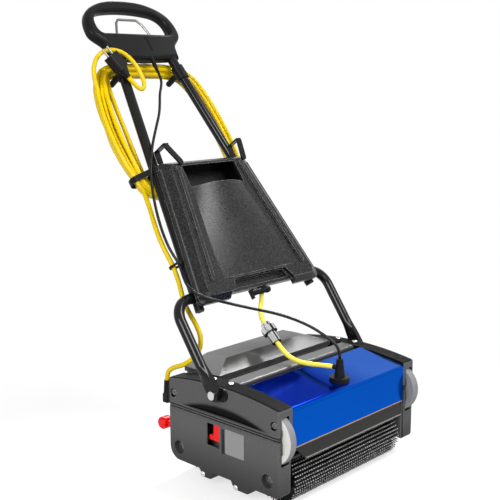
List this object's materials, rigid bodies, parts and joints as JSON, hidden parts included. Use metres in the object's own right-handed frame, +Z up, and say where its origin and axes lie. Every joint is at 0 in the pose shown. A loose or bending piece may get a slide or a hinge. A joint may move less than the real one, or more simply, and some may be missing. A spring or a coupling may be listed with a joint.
{
  "type": "floor scrubber",
  "caption": "Walk-behind floor scrubber with counter-rotating cylindrical brushes, a tilting handle that carries the solution tank and mains cord, and a pick-up drum over a recovery tank.",
  "frame": {"origin": "on the floor under the middle of the base", "axes": "+Z up, the front with the blue cover faces -Y, +X to the right seen from the front"},
  "size_m": [0.481, 0.7205, 0.9774],
  "materials": {
    "housing_plastic": "satin",
    "frame_casting": "matte",
    "black_plastic": "satin",
    "grey_plastic": "satin",
    "blue_paint": "gloss",
    "smoked_plastic": "gloss",
    "black_steel": "satin",
    "bright_steel": "satin",
    "chromed": "polished",
    "motor_iron": "matte",
    "bearing_brass": "satin",
    "belt_rubber": "matte",
    "brush_plastic": "satin",
    "bristle_nylon": "matte",
    "red_plastic": "gloss",
    "wheel_plastic": "satin",
    "yellow_cord": "satin",
    "lemon_hose": "gloss",
    "cable_sheath": "satin"
  },
  "bodies": {
    "chassis": {"left_lower_cover": "housing_plastic", "right_lower_cover": "housing_plastic", "left_upper_cap": "housing_plastic", "right_upper_cap": "housing_plastic", "left_side_frame": "frame_casting", "right_side_frame": "frame_casting", "gearbox": "frame_casting", "rear_panel": "black_plastic", "mains_gland": "black_plastic", "pivot_bushes": "black_plastic", "feed_valve": "black_plastic", "rear_hood": "grey_plastic", "carry_bar": "grey_plastic", "recovery_tank": "grey_plastic", "front_cover": "blue_paint", "splash_guard": "smoked_plastic", "chassis_deck": "black_steel", "cover_screws": "black_steel", "wheel_axles": "bright_steel", "housing_bolts": "bright_steel", "pivot_bolts": "bright_steel", "lever_plate": "bright_steel", "spray_bar": "bright_steel", "drive_motor": "motor_iron", "brush_bearings": "bearing_brass", "drive_belts": "belt_rubber"},
    "handle": {"yoke": "black_steel", "left_tube": "black_steel", "right_tube": "black_steel", "clamp_knobs": "black_plastic", "handle_front_shell": "black_plastic", "handle_rear_shell": "black_plastic", "cable_ferrule": "black_plastic", "cord_hooks": "black_plastic", "solution_tank": "black_plastic", "tank_clips": "black_steel", "tank_outlet": "black_plastic", "cord_ties": "black_plastic", "mains_hank": "yellow_cord", "mains_lead": "yellow_cord", "mains_tail": "yellow_cord", "mains_plug": "black_plastic", "control_cable": "cable_sheath", "hose_upper": "lemon_hose", "hose_coupling": "chromed", "hose_lower": "lemon_hose"},
    "bail": {"bail": "bright_steel"},
    "front_brush": {"front_brush_core": "brush_plastic", "front_brush_bristles": "bristle_nylon"},
    "rear_brush": {"rear_brush_core": "brush_plastic", "rear_brush_bristles": "bristle_nylon"},
    "front_drive": {"front_drive_pulley": "black_plastic"},
    "rear_drive": {"rear_drive_pulley": "black_plastic"},
    "drum_carriage": {"drum_carriage": "black_steel", "drum_scraper": "belt_rubber"},
    "drum": {"pickup_drum": "grey_plastic"},
    "drum_lever": {"drum_lever": "red_plastic"},
    "foot_pedal": {"foot_pedal": "red_plastic"},
    "left_wheel": {"left_wheel": "wheel_plastic"},
    "right_wheel": {"right_wheel": "wheel_plastic"}
  },
  "joints": [
    {"name": "handle_tilt", "type": "hinge", "parent": "chassis", "child": "handle", "pos_m": [0, 0.006, 0.207], "axis": [1, 0, 0], "range_deg": [-35, 30], "deforming": ["mains_lead", "control_cable", "hose_upper", "hose_coupling", "hose_lower"]},
    {"name": "bail_squeeze", "type": "slide", "parent": "handle", "child": "bail", "axis": [0, 0.5736, 0.8191], "range_m": [0, 0.012], "stiffness_N_per_m": 900, "springref_m": -0.003},
    {"name": "front_brush_spin", "type": "hinge", "parent": "chassis", "child": "front_brush", "pos_m": [0, -0.1, 0.05], "axis": [1, 0, 0], "continuous": true},
    {"name": "rear_brush_spin", "type": "hinge", "parent": "chassis", "child": "rear_brush", "pos_m": [0, 0.1, 0.05], "axis": [1, 0, 0], "continuous": true},
    {"name": "front_drive_spin", "type": "hinge", "parent": "chassis", "child": "front_drive", "pos_m": [0, -0.024, 0.132], "axis": [1, 0, 0], "continuous": true},
    {"name": "rear_drive_spin", "type": "hinge", "parent": "chassis", "child": "rear_drive", "pos_m": [0, 0.024, 0.132], "axis": [1, 0, 0], "continuous": true},
    {"name": "drum_lever_tip", "type": "hinge", "parent": "chassis", "child": "drum_lever", "pos_m": [-0.2, -0.005, 0.118], "axis": [1, 0, 0], "range_deg": [-14, 0]},
    {"name": "drum_lift", "type": "slide", "parent": "chassis", "child": "drum_carriage", "axis": [0, 0, 1], "range_m": [0, 0.008]},
    {"name": "drum_spin", "type": "hinge", "parent": "drum_carriage", "child": "drum", "pos_m": [0, 0, 0.0405], "axis": [1, 0, 0], "continuous": true},
    {"name": "foot_pedal_press", "type": "hinge", "parent": "chassis", "child": "foot_pedal", "pos_m": [-0.2, 0.112, 0.104], "axis": [1, 0, 0], "range_deg": [-12, 0], "stiffness_Nm_per_rad": 8, "springref_deg": 2.86},
    {"name": "left_wheel_spin", "type": "hinge", "parent": "chassis", "child": "left_wheel", "pos_m": [-0.2, -0.1175, 0.1465], "axis": [1, 0, 0], "continuous": true},
    {"name": "right_wheel_spin", "type": "hinge", "parent": "chassis", "child": "right_wheel", "pos_m": [0.2, -0.1175, 0.1465], "axis": [1, 0, 0], "continuous": true}
  ],
  "couplings": [
    {"joint": "rear_brush_spin", "follows": "front_brush_spin", "ratio": -1},
    {"joint": "front_drive_spin", "follows": "front_brush_spin", "ratio": 1},
    {"joint": "rear_drive_spin", "follows": "front_brush_spin", "ratio": -1},
    {"joint": "drum_lever_tip", "follows": "drum_lift", "rad_per_m": -30.54}
  ]
}
